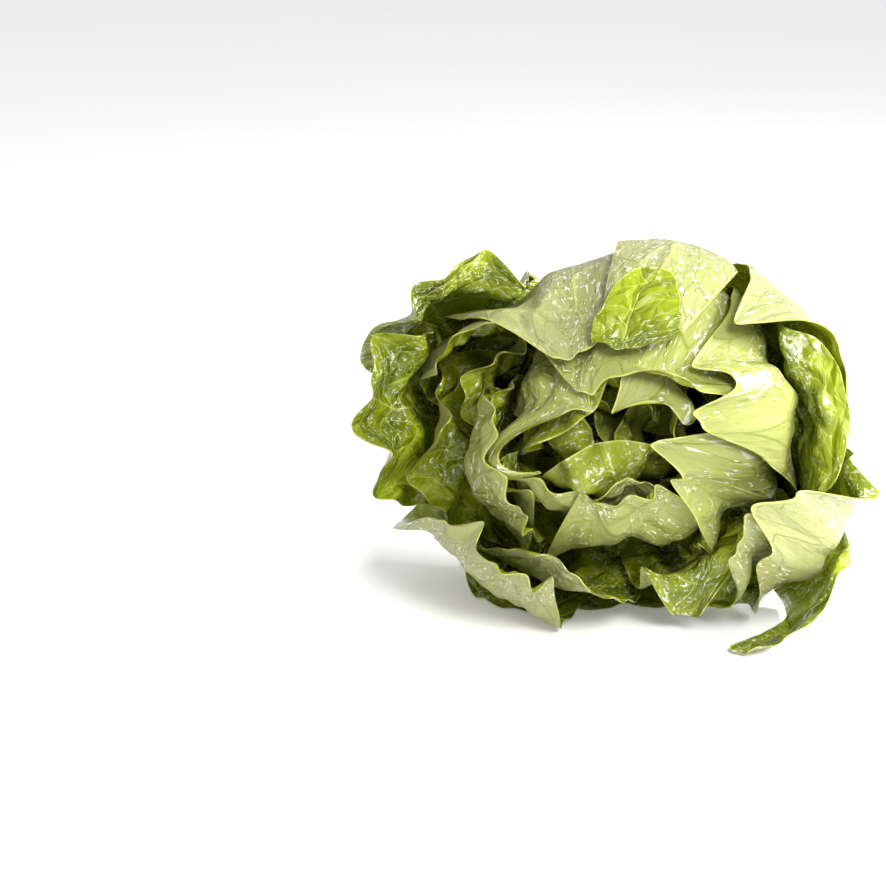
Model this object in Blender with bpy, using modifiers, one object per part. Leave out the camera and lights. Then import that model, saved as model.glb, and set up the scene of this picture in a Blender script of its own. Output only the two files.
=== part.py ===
"""A head of trocadero lettuce lying on its side, rosette towards the front. Metres, +Z up.

Leaves are laid from the heart outwards. Each one is drawn flat, wrapped onto a surface that rises from
the stem, and moved out wherever it would touch a leaf laid before it.
"""
import math
from collections import namedtuple

import bmesh
import bpy
import numpy as np
from mathutils import Matrix, Vector

# The head lies with its axis towards the front and a little up and to the left.
AXIS_RISE = math.radians(24)
AXIS_TURN = math.radians(5)
BUTT = (-0.0001, 0.0466, 0.078)       # middle of the cut end of the stem

# The stem is a cone reaching into the heart. Leaves grow from its side: the outermost at its foot and the
# innermost open ones at its neck.
FOOT_RADIUS, NECK_RADIUS = 0.0150, 0.0035
FOOT_HEIGHT, NECK_HEIGHT = 0.003, 0.044
STEM_GAP = 0.0014                   # from the stem's side to the middle of a leaf's thickness
STEM_STEPS = 24

LEAF_THICKNESS = 0.0008
SHOULDER = 0.56                     # how far up its length a leaf is at its widest
LEAF_GAP = 0.0029                   # between the middles of two leaves that lie on each other
BASE_GAP = 0.0014                   # the same at their roots
GROUND_STEP = 0.0015                # between leaves pressed onto the ground, one on another
# The head stands on three places of its lowest leaf, and between them that leaf is this much clear.
STANDS_AT = ((-0.067, 0.032), (0.066, 0.014), (-0.008, -0.020))
STAND_REACH, CLEAR_BETWEEN = 0.030, 0.0008

# The heart is a ball of closed leaves around this point on the axis.
HEART_MIDDLE = 0.070
HEART_FIRST, HEART_LAST = 0.011, 0.038
HEART_LEAVES = 10
GOLDEN_ANGLE = 137.5
HEART_RUFFLE = 0.0030, 0.0075       # first leaf and last
HEART_FOLD = 0.030                  # size of the folds over a blade
HEART_CELLS = (7, 8)                # across and along a leaf
HEART_GRID = (110, 110)

# Layer 0 would be the ball's own leaf, layer 1 is an outer leaf. A leaf sets off at the root angle from
# the stem, measured from straight out, and turns evenly to the tip angle over its reach.
INNER_ROOT_ANGLE = 14.0
INNER_TIP_ANGLE = 168.0
INNER_REACH = 0.088
# azimuth round the rosette (0 right, 90 up), angles at root and tip and reach of an outer leaf there
OUTER_FORM = (
    (0, 0, 84, 0.160), (30, 0, 100, 0.170), (60, 0, 140, 0.190), (90, 0, 158, 0.200), (120, 0, 146, 0.186),
    (145, 0, 100, 0.164), (180, -12, 80, 0.146), (225, -42, 84, 0.142), (270, -50, 86, 0.150),
    (300, -44, 82, 0.148), (330, -20, 76, 0.160),
)
CROWN_ROUND = 0.006                 # how softly leaves bend that reach the axis
NARROWEST_WRAP = 0.016              # radius a leaf is wrapped round at the least
LEAF_FOLD = 0.055
TIP_ROLL, SIDE_ROLL = 0.32, 0.50    # shares of the length and of the half width that roll back
BEND_FROM = 0.50                    # share of the length from which a leaf bends sideways
# folds all open leaves share: metres outwards, how many round the head, turn per metre of leaf, phase
HEAD_FOLDS = ((0.004, 3, 30, 0), (0.003, 5, -45, 1), (0.003, 2, 60, 2))
LEAF_CELLS = (10, 11)
LEAF_GRID, LONGEST_LEAF = (150, 104), 0.26
LAYER_BLEND, HEART_BLEND = 0.02, 0.001    # how softly a leaf meets those beneath, in layers and in metres

Leaf = namedtuple("Leaf", "name azimuth layer length half flare bend ruffle waves phase tip left right")
# azimuth in degrees; length and half width in metres; flare at the tip, in layers out; sideways bend in
# radians; ruffle in metres; waves round the edge; how far the tip and the two edges roll back, in radians
HEAD_LEAVES = (
    Leaf("head_leaf_01", 260, 0.260, 0.111, 0.059, -0.09, 0.06, 0.0030, 7.2, 4.2, -0.3, -0.3, 0.7),
    Leaf("head_leaf_02", 111, 0.290, 0.141, 0.049, 0.06, 0.11, 0.0028, 5.3, 6.5, -0.1, -0.3, -0.3),
    Leaf("head_leaf_03", 350, 0.320, 0.100, 0.048, 0.04, 0.00, 0.0050, 5.6, 1.1, 0.0, 0.0, 0.0),
    Leaf("head_leaf_04", 196, 0.350, 0.104, 0.050, 0.04, 0.00, 0.0055, 5.2, 3.0, 0.0, 0.0, 0.4),
    Leaf("head_leaf_05", 50, 0.385, 0.114, 0.052, 0.00, 0.00, 0.0030, 4.3, 4.0, -0.2, 0.0, 0.0),
    Leaf("head_leaf_06", 290, 0.420, 0.126, 0.052, -0.07, 0.05, 0.0058, 3.9, 1.2, -0.3, 0.7, 0.0),
    Leaf("head_leaf_07", 200, 0.455, 0.130, 0.049, 0.08, 0.60, 0.0057, 8.6, 0.7, -0.2, 0.5, -0.2),
    Leaf("head_leaf_08", 26, 0.490, 0.134, 0.049, 0.14, -0.02, 0.0100, 6.3, 5.2, -0.2, 0.0, 0.7),
    Leaf("head_leaf_09", 347, 0.525, 0.139, 0.046, -0.09, -0.52, 0.0093, 7.7, 4.0, 0.0, 0.7, -0.1),
    Leaf("head_leaf_10", 72, 0.560, 0.160, 0.055, 0.03, 0.25, 0.0080, 4.8, 3.2, -0.1, 0.5, -0.1),
    Leaf("head_leaf_11", 317, 0.600, 0.143, 0.046, 0.07, -0.50, 0.0135, 3.6, 0.9, 0.0, 0.6, 0.2),
    Leaf("head_leaf_12", 146, 0.630, 0.106, 0.048, -0.11, 0.16, 0.0086, 4.7, 0.7, 0.1, -0.2, 0.5),
    Leaf("head_leaf_13", 17, 0.660, 0.156, 0.050, -0.06, 0.18, 0.0030, 4.7, 2.3, -0.1, 0.0, 0.3),
    Leaf("head_leaf_14", 191, 0.690, 0.110, 0.069, 0.02, 0.60, 0.0135, 6.1, 1.5, 0.5, 0.7, -0.1),
    Leaf("wrapper_leaf_01", 254, 0.725, 0.144, 0.053, -0.08, -0.06, 0.0032, 6.2, 5.6, 0.3, -0.2, 0.7),
    Leaf("wrapper_leaf_02", 5, 0.750, 0.174, 0.054, 0.16, 0.24, 0.0071, 3.7, 0.9, 0.9, 0.4, 0.7),
    Leaf("wrapper_leaf_03", 135, 0.775, 0.142, 0.050, 0.03, 0.12, 0.0045, 7.8, 6.7, 0.0, -0.2, 0.3),
    Leaf("wrapper_leaf_04", 328, 0.800, 0.162, 0.052, -0.08, -0.04, 0.0025, 5.6, 2.6, 0.3, -0.3, 0.7),
    Leaf("wrapper_leaf_05", 101, 0.825, 0.163, 0.062, -0.10, 0.05, 0.0029, 3.8, 3.6, 0.1, 0.2, 0.4),
    Leaf("wrapper_leaf_06", 69, 0.840, 0.230, 0.024, -0.10, 0.30, 0.0030, 5.4, 2.4, 2.8, 0.1, 0.1),
    Leaf("wrapper_leaf_07", 24, 0.850, 0.167, 0.056, -0.07, 0.03, 0.0050, 6.7, 0.0, -0.3, 0.4, 0.2),
    Leaf("wrapper_leaf_08", 336, 0.875, 0.177, 0.055, -0.03, 0.04, 0.0128, 6.8, 6.1, 0.0, -0.3, 0.7),
    Leaf("wrapper_leaf_09", 174, 0.900, 0.172, 0.050, 0.04, -0.02, 0.0135, 7.3, 2.8, 0.4, 0.5, 0.7),
    Leaf("wrapper_leaf_10", 234, 0.925, 0.176, 0.065, -0.12, 0.34, 0.0096, 7.4, 2.6, -0.2, 0.6, 0.7),
    Leaf("wrapper_leaf_11", 144, 0.950, 0.166, 0.050, 0.08, -0.29, 0.0124, 7.4, 3.2, 0.9, -0.1, 0.7),
    Leaf("wrapper_leaf_12", 332, 0.975, 0.232, 0.025, 0.10, -1.55, 0.0030, 6.0, 3.0, 0.0, 0.8, 0.8),
    Leaf("wrapper_leaf_13", 268, 1.000, 0.146, 0.084, 0.00, 0.00, 0.0090, 6.4, 2.0, 0.9, 0.0, 0.0),
)


def head_axes():
    """The head's right, up and axis directions, as rows."""
    level = math.cos(AXIS_RISE)
    axis = np.array([-math.sin(AXIS_TURN) * level, -math.cos(AXIS_TURN) * level, math.sin(AXIS_RISE)])
    right = np.array([math.cos(AXIS_TURN), -math.sin(AXIS_TURN), 0.0])
    return np.stack([right, np.cross(axis, right), axis])


def to_world(points, leaves_beneath):
    """Points of the head in the world. A leaf that would sink lies on the ground, or on those beneath it."""
    world = points @ head_axes() + np.array(BUTT)
    away = np.min([np.hypot(world[..., 0] - x, world[..., 1] - y) for x, y in STANDS_AT], axis=0)
    ground = LEAF_THICKNESS / 2 + GROUND_STEP * leaves_beneath + CLEAR_BETWEEN * ease(0, STAND_REACH, away)
    world[..., 2] = np.maximum(world[..., 2], ground)
    return world


def stem_radius(height):
    return NECK_RADIUS + (FOOT_RADIUS - NECK_RADIUS) * (NECK_HEIGHT - height) / (NECK_HEIGHT - FOOT_HEIGHT)


def ease(start, end, x):
    t = np.clip((x - start) / (end - start), 0, 1)
    return t * t * (3 - 2 * t)


def ring_values(column, degrees):
    """A column of OUTER_FORM read smoothly round the ring."""
    knots = [row[0] for row in OUTER_FORM]
    values = [row[column] for row in OUTER_FORM]
    nearby = [np.interp(degrees + turn, knots, values, period=360) for turn in (-14, -7, 0, 7, 14)]
    return np.mean(nearby, axis=0)


RING = np.arange(0, 361)
RING_ROOT = np.radians(ring_values(1, RING))
RING_TIP = np.radians(ring_values(2, RING))
RING_REACH = ring_values(3, RING)


def profile(azimuth, length, layer):
    """Distance from the axis and height along it, that far up a leaf of that layer."""
    degrees = np.degrees(azimuth) % 360
    root_outer, tip_outer, reach_outer = (np.interp(degrees, RING, ring)
                                          for ring in (RING_ROOT, RING_TIP, RING_REACH))
    root = math.radians(INNER_ROOT_ANGLE) * (1 - layer) + root_outer * layer
    tip = math.radians(INNER_TIP_ANGLE) * (1 - layer) + tip_outer * layer
    reach = INNER_REACH * (1 - layer) + reach_outer * layer
    up = NECK_HEIGHT + (FOOT_HEIGHT - NECK_HEIGHT) * layer
    out = stem_radius(up) + STEM_GAP
    turn = (tip - root) / reach
    turn = np.where(np.abs(turn) < 1e-3, 1e-3, turn)
    angle = root + turn * length
    out = out + (np.sin(angle) - np.sin(root)) / turn
    up = up - (np.cos(angle) - np.cos(root)) / turn
    return out, up


def head_point(azimuth, length, layer):
    out, up = profile(azimuth, length, layer)
    out = 0.5 * (out + np.sqrt(out ** 2 + CROWN_ROUND ** 2))
    return np.stack([out * np.cos(azimuth), out * np.sin(azimuth), up], -1)


def layer_size(azimuth, length, layer):
    """Metres outwards for one whole layer at that place."""
    step = 0.01
    apart = head_point(azimuth, length, layer + step) - head_point(azimuth, length, layer - step)
    return np.maximum(np.linalg.norm(apart, axis=-1) / (2 * step), 0.02)


def outline(across, along, length, half):
    """A leaf laid flat: narrow at the root, widening to a round end whose middle line is at SHOULDER."""
    rising, ending = np.minimum(along / SHOULDER, 1), np.clip((along - SHOULDER) / (1 - SHOULDER), 0, 1)
    width = 0.17 + 0.83 * np.sin(0.5 * np.pi * rising) ** 1.3
    x = half * width * across * np.sqrt(1 - 0.5 * ending ** 2)
    y = length * (SHOULDER * rising + (1 - SHOULDER) * ending * np.sqrt(1 - 0.5 * across ** 2))
    edge = (1 - (1 - np.abs(across) ** 2.6) * (1 - along ** 3.5)) * ease(0.05, 0.60, along)
    return x, y, edge


def bumps(x, y, seed, size, count=9):
    """Soft folds over a leaf, between about -1 and 1."""
    rng = np.random.default_rng(seed)
    total = np.zeros_like(x)
    for _ in range(count):
        heading = rng.uniform(0, 2 * np.pi)
        pitch = 2 * np.pi / size * rng.uniform(0.6, 1.5)
        total += np.sin(pitch * (x * np.cos(heading) + y * np.sin(heading)) + rng.uniform(0, 2 * np.pi))
    return total / math.sqrt(count)


def rolled(past, zone, turn):
    """What lies past a fold line, rolled back by turn over the zone: new distance and outward offset."""
    if abs(turn) < 1e-3:
        return past, np.zeros_like(past)
    radius = zone / turn
    around = np.clip(past, 0, None) / radius
    return np.where(past > 0, radius * np.sin(around), past), radius * (1 - np.cos(around))


def bent(x, y, length, turn):
    """The flat leaf with its upper part curved sideways, by turn at the tip."""
    if abs(turn) < 1e-3:
        return x, y
    start = BEND_FROM * length
    radius = (length - start) / turn
    around = np.clip(y - start, 0, None) / radius
    return (np.where(y > start, radius * (1 - np.cos(around)) + x * np.cos(around), x),
            np.where(y > start, start + (radius - x) * np.sin(around), y))


def edge_waves(x, y, edge, length, waves, phase):
    round_edge = np.arctan2(x, y - 0.35 * length)
    wave = (np.sin(waves * round_edge + phase) + 0.5 * np.sin(2.3 * waves * round_edge + 1.7 * phase + 1)
            + 0.2 * np.sin(4.1 * waves * round_edge + 2.9 * phase + 2))
    return (wave + 0.8) * edge ** 1.8


class Laid:
    """How far out the leaves laid so far reach, on a grid over the two coordinates they spread in."""

    def __init__(self, low, high, cells, closed):
        self.low, self.high, self.cells, self.closed = low, high, cells, closed
        self.grid = np.full(cells, -1.0)

    def place(self, *at):
        """Cell positions, each clipped to the grid unless that way round is closed."""
        found = []
        for k in (0, 1):
            i = (at[k] - self.low[k]) / (self.high[k] - self.low[k]) * self.cells[k]
            found.append(i % self.cells[k] if self.closed[k] else np.clip(i, 0, self.cells[k] - 1.001))
        return found

    def neighbours(self, grid, axis):
        before, after = np.roll(grid, 1, axis), np.roll(grid, -1, axis)
        if not self.closed[axis]:
            edge = [slice(None), slice(None)]
            edge[axis] = 0
            before[tuple(edge)] = grid[tuple(edge)]
            edge[axis] = -1
            after[tuple(edge)] = grid[tuple(edge)]
        return before, after

    def widened(self, cells=1):
        grid = self.grid
        for axis in (0, 1) * cells:
            grid = np.maximum(grid, np.maximum(*self.neighbours(grid, axis)))
        return grid

    def softened(self):
        """The same with its steps eased off, yet nowhere lower than widened by one cell."""
        grid = self.widened(3)
        for axis in (0, 1, 0, 1):
            before, after = self.neighbours(grid, axis)
            grid = 0.25 * before + 0.5 * grid + 0.25 * after
        return grid

    def read(self, grid, *at):
        a, b = self.place(*at)
        a0, b0 = np.floor(a).astype(int), np.floor(b).astype(int)
        fa, fb = a - a0, b - b0
        a0, a1 = a0 % self.cells[0], (a0 + 1) % self.cells[0]
        b1 = np.minimum(b0 + 1, self.cells[1] - 1)
        return ((grid[a0, b0] * (1 - fa) + grid[a1, b0] * fa) * (1 - fb)
                + (grid[a0, b1] * (1 - fa) + grid[a1, b1] * fa) * fb)

    def add(self, height, *at):
        a, b = (np.round(i).astype(int) % n for i, n in zip(self.place(*at), self.cells))
        np.maximum.at(self.grid, (a, b), height)


CORNERS = ((slice(None, -1), slice(None, -1)), (slice(None, -1), slice(1, None)),
           (slice(1, None), slice(None, -1)), (slice(1, None), slice(1, None)))


def facet_weights(parts):
    """How much each corner of a grid cell counts at points spread over the cell's two triangles."""
    t, s = np.meshgrid(np.linspace(0, 1, parts + 1), np.linspace(0, 1, parts + 1), indexing="ij")
    return 1 - np.maximum(s, t), np.maximum(s - t, 0), np.maximum(t - s, 0), np.minimum(s, t)


def over_facets(grid, weights):
    return sum(grid[corner][:, :, None, None] * w for corner, w in zip(CORNERS, weights))


def settle(laid, height, relief, at, size, gap, softness):
    """Raise a leaf's corners until its facets clear what is laid, then lay it too.

    height is the leaf's own grid of heights and at holds its two coordinates. What stands up from it and
    the clear gap are in metres, and size gives the metres in one unit of height.
    """
    low = laid.read(laid.softened(), *at)
    metres = size(*at, np.maximum(low, height))
    low, gap, relief = low + gap / metres, gap / metres, relief / metres
    mix = np.clip(0.5 + 0.5 * (height - low) / softness, 0, 1)
    height = low + (height - low) * mix + softness * mix * (1 - mix) + relief
    weights = facet_weights(max(2, 60 // max(height.shape)))
    places = [over_facets(a, weights) for a in at]
    floor = laid.read(laid.widened(), *places) + 0.9 * over_facets(gap, weights)
    for _ in range(8):
        short = np.clip(floor - over_facets(height, weights), 0, None)
        lift = np.zeros_like(height)
        for corner, weight in zip(CORNERS, weights):
            lift[corner] = np.maximum(lift[corner], np.max(weight * short, axis=(2, 3)))
        height = height + lift
    laid.add(over_facets(height, weights), *places)
    return height


def leaf_grid(cells):
    return np.meshgrid(np.linspace(-1, 1, cells[0] + 1), np.linspace(0, 1, cells[1] + 1))


def heart_leaf(laid, number, cells):
    """Points of one closed leaf: it sets off beside the stem and folds over the top of the ball."""
    rng = np.random.default_rng(number)
    share = number / (HEART_LEAVES - 1)
    radius = HEART_FIRST + (HEART_LAST - HEART_FIRST) * share
    azimuth = math.radians(5 + GOLDEN_ANGLE * (HEART_LEAVES - 1 - number) + rng.uniform(-12, 12))
    root = math.asin(max(0.003, stem_radius(HEART_MIDDLE - radius) + STEM_GAP) / radius)
    over = math.radians(rng.uniform(-28, 10) - 22 * share)
    length, half = radius * (math.pi - root + over), radius * rng.uniform(0.95, 1.15)
    x, y, edge = outline(*leaf_grid(cells), length, half)
    ruffle = HEART_RUFFLE[0] + (HEART_RUFFLE[1] - HEART_RUFFLE[0]) * share
    out = ruffle * edge_waves(x, y, edge, length, 4.6 + share, 2.4 * number)
    out = out + 0.5 * ruffle * bumps(x, y, 20 + number, HEART_FOLD) + 0.12 * radius * edge ** 3
    polar, side = root + y / radius, x / radius
    ahead, aside, up = np.cos(side) * np.sin(polar), np.sin(side), -np.cos(side) * np.cos(polar)
    direction = np.stack([
        ahead * math.cos(azimuth) - aside * math.sin(azimuth),
        ahead * math.sin(azimuth) + aside * math.cos(azimuth), up], -1)
    from_top = np.arccos(np.clip(up, -1, 1))
    flat = np.maximum(np.hypot(direction[..., 0], direction[..., 1]), 1e-6)
    at = [from_top * direction[..., 0] / flat, from_top * direction[..., 1] / flat]
    gap = BASE_GAP + (LEAF_GAP - BASE_GAP) * ease(0.0, 0.3, y / length)
    out = settle(laid, np.full_like(x, radius), out, at, lambda *_: 1.0, gap, HEART_BLEND)
    return direction * out[..., None] + np.array([0, 0, HEART_MIDDLE])


def heart_reach(laid_heart):
    """The layer at which an open leaf clears the heart, laid on the grid for the leaves around it."""
    laid = Laid((0, 0), (2 * math.pi, LONGEST_LEAF), LEAF_GRID, (True, False))
    azimuth, length = np.meshgrid(*(np.arange(n) / n * high for n, high in zip(LEAF_GRID, laid.high)),
                                  indexing="ij")
    for layer in np.arange(1.0, -0.05, -0.02):
        point = head_point(azimuth, length, layer) - np.array([0, 0, HEART_MIDDLE])
        distance = np.linalg.norm(point, axis=-1)
        from_top = np.arccos(np.clip(point[..., 2] / distance, -1, 1))
        flat = np.maximum(np.hypot(point[..., 0], point[..., 1]), 1e-6)
        at = [from_top * point[..., 0] / flat, from_top * point[..., 1] / flat]
        inside = distance < laid_heart.read(laid_heart.widened(), *at) + 1.2 * LEAF_GAP
        laid.grid = np.where(inside & (laid.grid < layer), layer, laid.grid)
    return laid


def open_leaf(laid, leaf, cells):
    """Points of one leaf that stands around the heart, and how far round and along the head they are."""
    x, y, edge = outline(*leaf_grid(cells), leaf.length, leaf.half)
    along = y / leaf.length
    out = leaf.ruffle * edge_waves(x, y, edge, leaf.length, leaf.waves, leaf.phase)
    out = out + 0.55 * leaf.ruffle * ease(0.1, 0.6, along) * bumps(x, y, leaf.azimuth, LEAF_FOLD)
    zone = TIP_ROLL * leaf.length
    start = leaf.length - zone
    y, lift = rolled(y - start, zone, leaf.tip)
    y, out = y + start, out + lift
    zone = SIDE_ROLL * leaf.half
    start = leaf.half - zone
    for side, turn in ((-1, leaf.left), (1, leaf.right)):
        past, lift = rolled(side * x - start, zone, turn)
        x = np.where(side * x > start, side * (past + start), x)
        out = out + lift * ease(0.2, 0.6, along)
    x, y = bent(x, y, leaf.length, leaf.bend)
    middle = math.radians(leaf.azimuth)
    y = np.maximum(y, 0.0)
    girth, _ = profile(np.full_like(y, middle), y, np.full_like(y, leaf.layer))
    azimuth = middle + x / np.hypot(girth, NARROWEST_WRAP)
    layer = leaf.layer + leaf.flare * ease(0.2, 1.0, along)
    gap = BASE_GAP + (LEAF_GAP - BASE_GAP) * ease(0.0, 0.25, along)
    layer = settle(laid, layer, out, [azimuth, y], layer_size, gap, LAYER_BLEND)
    folds = sum(size * np.sin(round_head * azimuth + turn * y + phase)
                for size, round_head, turn, phase in HEAD_FOLDS)
    layer = layer + folds * ease(0.03, 0.13, y) / layer_size(azimuth, y, layer)
    return head_point(azimuth, y, layer)


def all_leaves(heart_cells, leaf_cells):
    """Every leaf's name and its grid of points in the world, from the heart outwards."""
    leaves = []
    laid = Laid((-math.pi, -math.pi), (math.pi, math.pi), HEART_GRID, (False, False))
    for number in range(HEART_LEAVES):
        leaves.append((f"heart_leaf_{number + 1:02d}", to_world(heart_leaf(laid, number, heart_cells), 0)))
    laid = heart_reach(laid)
    for number, leaf in enumerate(HEAD_LEAVES):
        beneath = sum(other.azimuth > 180 for other in HEAD_LEAVES[number + 1:])
        leaves.append((leaf.name, to_world(open_leaf(laid, leaf, leaf_cells), beneath)))
    return leaves


def make_material(name, colour, roughness):
    material = bpy.data.materials.new(name)
    material.use_nodes = True
    shader = material.node_tree.nodes["Principled BSDF"]
    shader.inputs["Base Color"].default_value = (*colour, 1.0)
    shader.inputs["Roughness"].default_value = roughness
    shader.inputs["Metallic"].default_value = 0.0
    return material


def build_leaf(name, points, material, collection):
    """A leaf's open sheet, split into triangles and given its thickness."""
    mesh = bmesh.new()
    rows, columns = points.shape[:2]
    bmesh.ops.create_grid(mesh, x_segments=columns - 1, y_segments=rows - 1, size=1.0)
    mesh.verts.ensure_lookup_table()
    for vertex, point in zip(mesh.verts, points.reshape(-1, 3)):
        vertex.co = point
    bmesh.ops.triangulate(mesh, faces=mesh.faces, quad_method="FIXED")
    data = bpy.data.meshes.new(name)
    mesh.to_mesh(data)
    mesh.free()
    data.shade_smooth()
    data.materials.append(material)
    leaf = bpy.data.objects.new(name, data)
    collection.objects.link(leaf)
    blade = leaf.modifiers.new("blade", "SOLIDIFY")
    blade.thickness = LEAF_THICKNESS
    blade.offset = 0.0


def build_stem(material, collection):
    """The stem, turned: its tip, the cone, and the cut face of the butt with its edge rounded off."""
    peak = NECK_HEIGHT + NECK_RADIUS / (FOOT_RADIUS - NECK_RADIUS) * (NECK_HEIGHT - FOOT_HEIGHT)
    heights = [peak - 0.002, peak - 0.004, NECK_HEIGHT, 0.5 * NECK_HEIGHT, FOOT_HEIGHT]
    profile_points = [(0.0, peak - 0.0015)] + [(float(stem_radius(z)), z) for z in heights]
    profile_points += [(FOOT_RADIUS, 0.001), (FOOT_RADIUS - 0.001, 0.0), (0.0, 0.0)]
    data = bpy.data.meshes.new("stem")
    edges = [(k, k + 1) for k in range(len(profile_points) - 1)]
    data.from_pydata([(r, 0.0, z) for r, z in profile_points], edges, [])
    data.materials.append(material)
    stem = bpy.data.objects.new("stem", data)
    collection.objects.link(stem)
    stem.matrix_world = Matrix.LocRotScale(Vector(BUTT), Matrix(head_axes().T.tolist()).to_quaternion(), None)
    turned = stem.modifiers.new("turned", "SCREW")
    turned.steps = turned.render_steps = STEM_STEPS
    turned.use_merge_vertices = True
    turned.merge_threshold = 0.0001
    turned.use_smooth_shade = True


def main():
    for old in list(bpy.data.objects):
        bpy.data.objects.remove(old)
    collection = bpy.data.collections.new("trocadero_lettuce")
    bpy.context.scene.collection.children.link(collection)
    build_stem(make_material("stem", (0.72, 0.74, 0.46), 0.5), collection)
    green = {
        "heart": make_material("heart_leaf", (0.33, 0.41, 0.08), 0.35),
        "head": make_material("head_leaf", (0.25, 0.33, 0.05), 0.38),
        "wrapper": make_material("wrapper_leaf", (0.28, 0.36, 0.08), 0.45),
    }
    for name, points in all_leaves(HEART_CELLS, LEAF_CELLS):
        build_leaf(name, points, green[name.split("_")[0]], collection)


main()
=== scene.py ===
"""A head of trocadero lettuce lying on its side, wet from washing: fine leaves with their veins and rims."""

import math
from collections import namedtuple

import bpy
import numpy as np
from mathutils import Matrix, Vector


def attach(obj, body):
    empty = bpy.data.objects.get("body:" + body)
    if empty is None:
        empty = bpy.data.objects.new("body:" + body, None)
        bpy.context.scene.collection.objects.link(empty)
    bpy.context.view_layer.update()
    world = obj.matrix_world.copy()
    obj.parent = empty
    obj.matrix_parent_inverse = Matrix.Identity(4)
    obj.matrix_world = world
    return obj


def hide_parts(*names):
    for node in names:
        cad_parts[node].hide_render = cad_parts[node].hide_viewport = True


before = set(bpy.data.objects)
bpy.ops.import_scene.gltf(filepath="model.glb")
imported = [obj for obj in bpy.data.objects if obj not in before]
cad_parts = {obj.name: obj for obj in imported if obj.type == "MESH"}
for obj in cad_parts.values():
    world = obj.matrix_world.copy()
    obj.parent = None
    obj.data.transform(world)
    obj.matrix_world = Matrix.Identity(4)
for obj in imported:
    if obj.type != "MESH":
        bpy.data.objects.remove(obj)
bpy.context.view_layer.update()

# The stem is the short core that every leaf grows from. It was cut through at the foot, where the juice
# has dried to a tan ring round a pale wet middle. Its turned body is kept as it is.

BUTT = np.array([-0.0001, 0.0466, 0.078])
AXIS_RISE, AXIS_TURN = math.radians(24), math.radians(5)
FOOT_RADIUS, NECK_RADIUS = 0.0150, 0.0035
FOOT_HEIGHT, NECK_HEIGHT = 0.003, 0.044


def head_axes():
    """The head's right, up and axis directions, as rows."""
    level = math.cos(AXIS_RISE)
    axis = np.array([-math.sin(AXIS_TURN) * level, -math.cos(AXIS_TURN) * level, math.sin(AXIS_RISE)])
    right = np.array([math.cos(AXIS_TURN), -math.sin(AXIS_TURN), 0.0])
    return np.stack([right, np.cross(axis, right), axis])


class Field:
    """A number, colour or direction that changes over a surface. Arithmetic on it adds Math nodes."""

    def __init__(self, finish, socket):
        self.finish, self.socket = finish, socket

    def other(self, output):
        """Another output of the node that this one comes from."""
        return Field(self.finish, self.socket.node.outputs[output])

    def maths(self, operation, *terms):
        return self.finish.node("ShaderNodeMath", {"operation": operation}, dict(enumerate(terms)))

    def __add__(self, term):
        return self.maths("ADD", self, term)

    def __sub__(self, term):
        return self.maths("SUBTRACT", self, term)

    def __rsub__(self, term):
        return self.maths("SUBTRACT", term, self)

    def __mul__(self, term):
        return self.maths("MULTIPLY", self, term)

    def __truediv__(self, term):
        return self.maths("DIVIDE", self, term)

    def __pow__(self, term):
        return self.maths("POWER", self, term)

    def __abs__(self):
        return self.maths("ABSOLUTE", self)

    __radd__, __rmul__ = __add__, __mul__

    def most(self, term):
        return self.maths("MAXIMUM", self, term)

    def rise(self, low, high):
        """0 up to low, 1 from high on, and a smooth step between them."""
        return self.finish.node("ShaderNodeMapRange", {"interpolation_type": "SMOOTHSTEP"},
                                {"Value": self, "From Min": low, "From Max": high})


class Finish:
    """A material under construction."""

    def __init__(self, name):
        self.material = bpy.data.materials.new(name)
        self.material.use_nodes = True
        self.tree = self.material.node_tree
        self.tree.nodes.clear()

    def node(self, kind, settings, sockets, output=0):
        """Add a node with its settings and the values or links of its sockets, and give one output."""
        made = self.tree.nodes.new(kind)
        for name, value in settings.items():
            setattr(made, name, value)
        for name, value in sockets.items():
            socket = made.inputs[name]
            if isinstance(value, Field):
                self.tree.links.new(value.socket, socket)
            else:
                socket.default_value = (*value, 1.0) if socket.type == "RGBA" else value
        return Field(self, made.outputs[output])

    def mixed(self, first, second, share):
        """The first colour where share is 0 and the second where it is 1."""
        return self.node("ShaderNodeMix", {"data_type": "RGBA"}, {0: share, 6: first, 7: second}, 2)

    def noise(self, place, size, detail=2.0, output=0):
        """Cloudy noise whose patches are about that many metres across."""
        sockets = {"Vector": place, "Scale": 1 / size, "Detail": detail}
        return self.node("ShaderNodeTexNoise", {}, sockets, output)

    def distance_to_edge(self, place, cells):
        """How far each place is from the border of its cell, with that many cells in a metre."""
        sockets = {"Vector": place, "Scale": cells}
        return self.node("ShaderNodeTexVoronoi", {"feature": "DISTANCE_TO_EDGE"}, sockets)

    def surface(self, shader):
        end = self.tree.nodes.new("ShaderNodeOutputMaterial")
        self.tree.links.new(shader.socket, end.inputs["Surface"])
        return self.material


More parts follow.
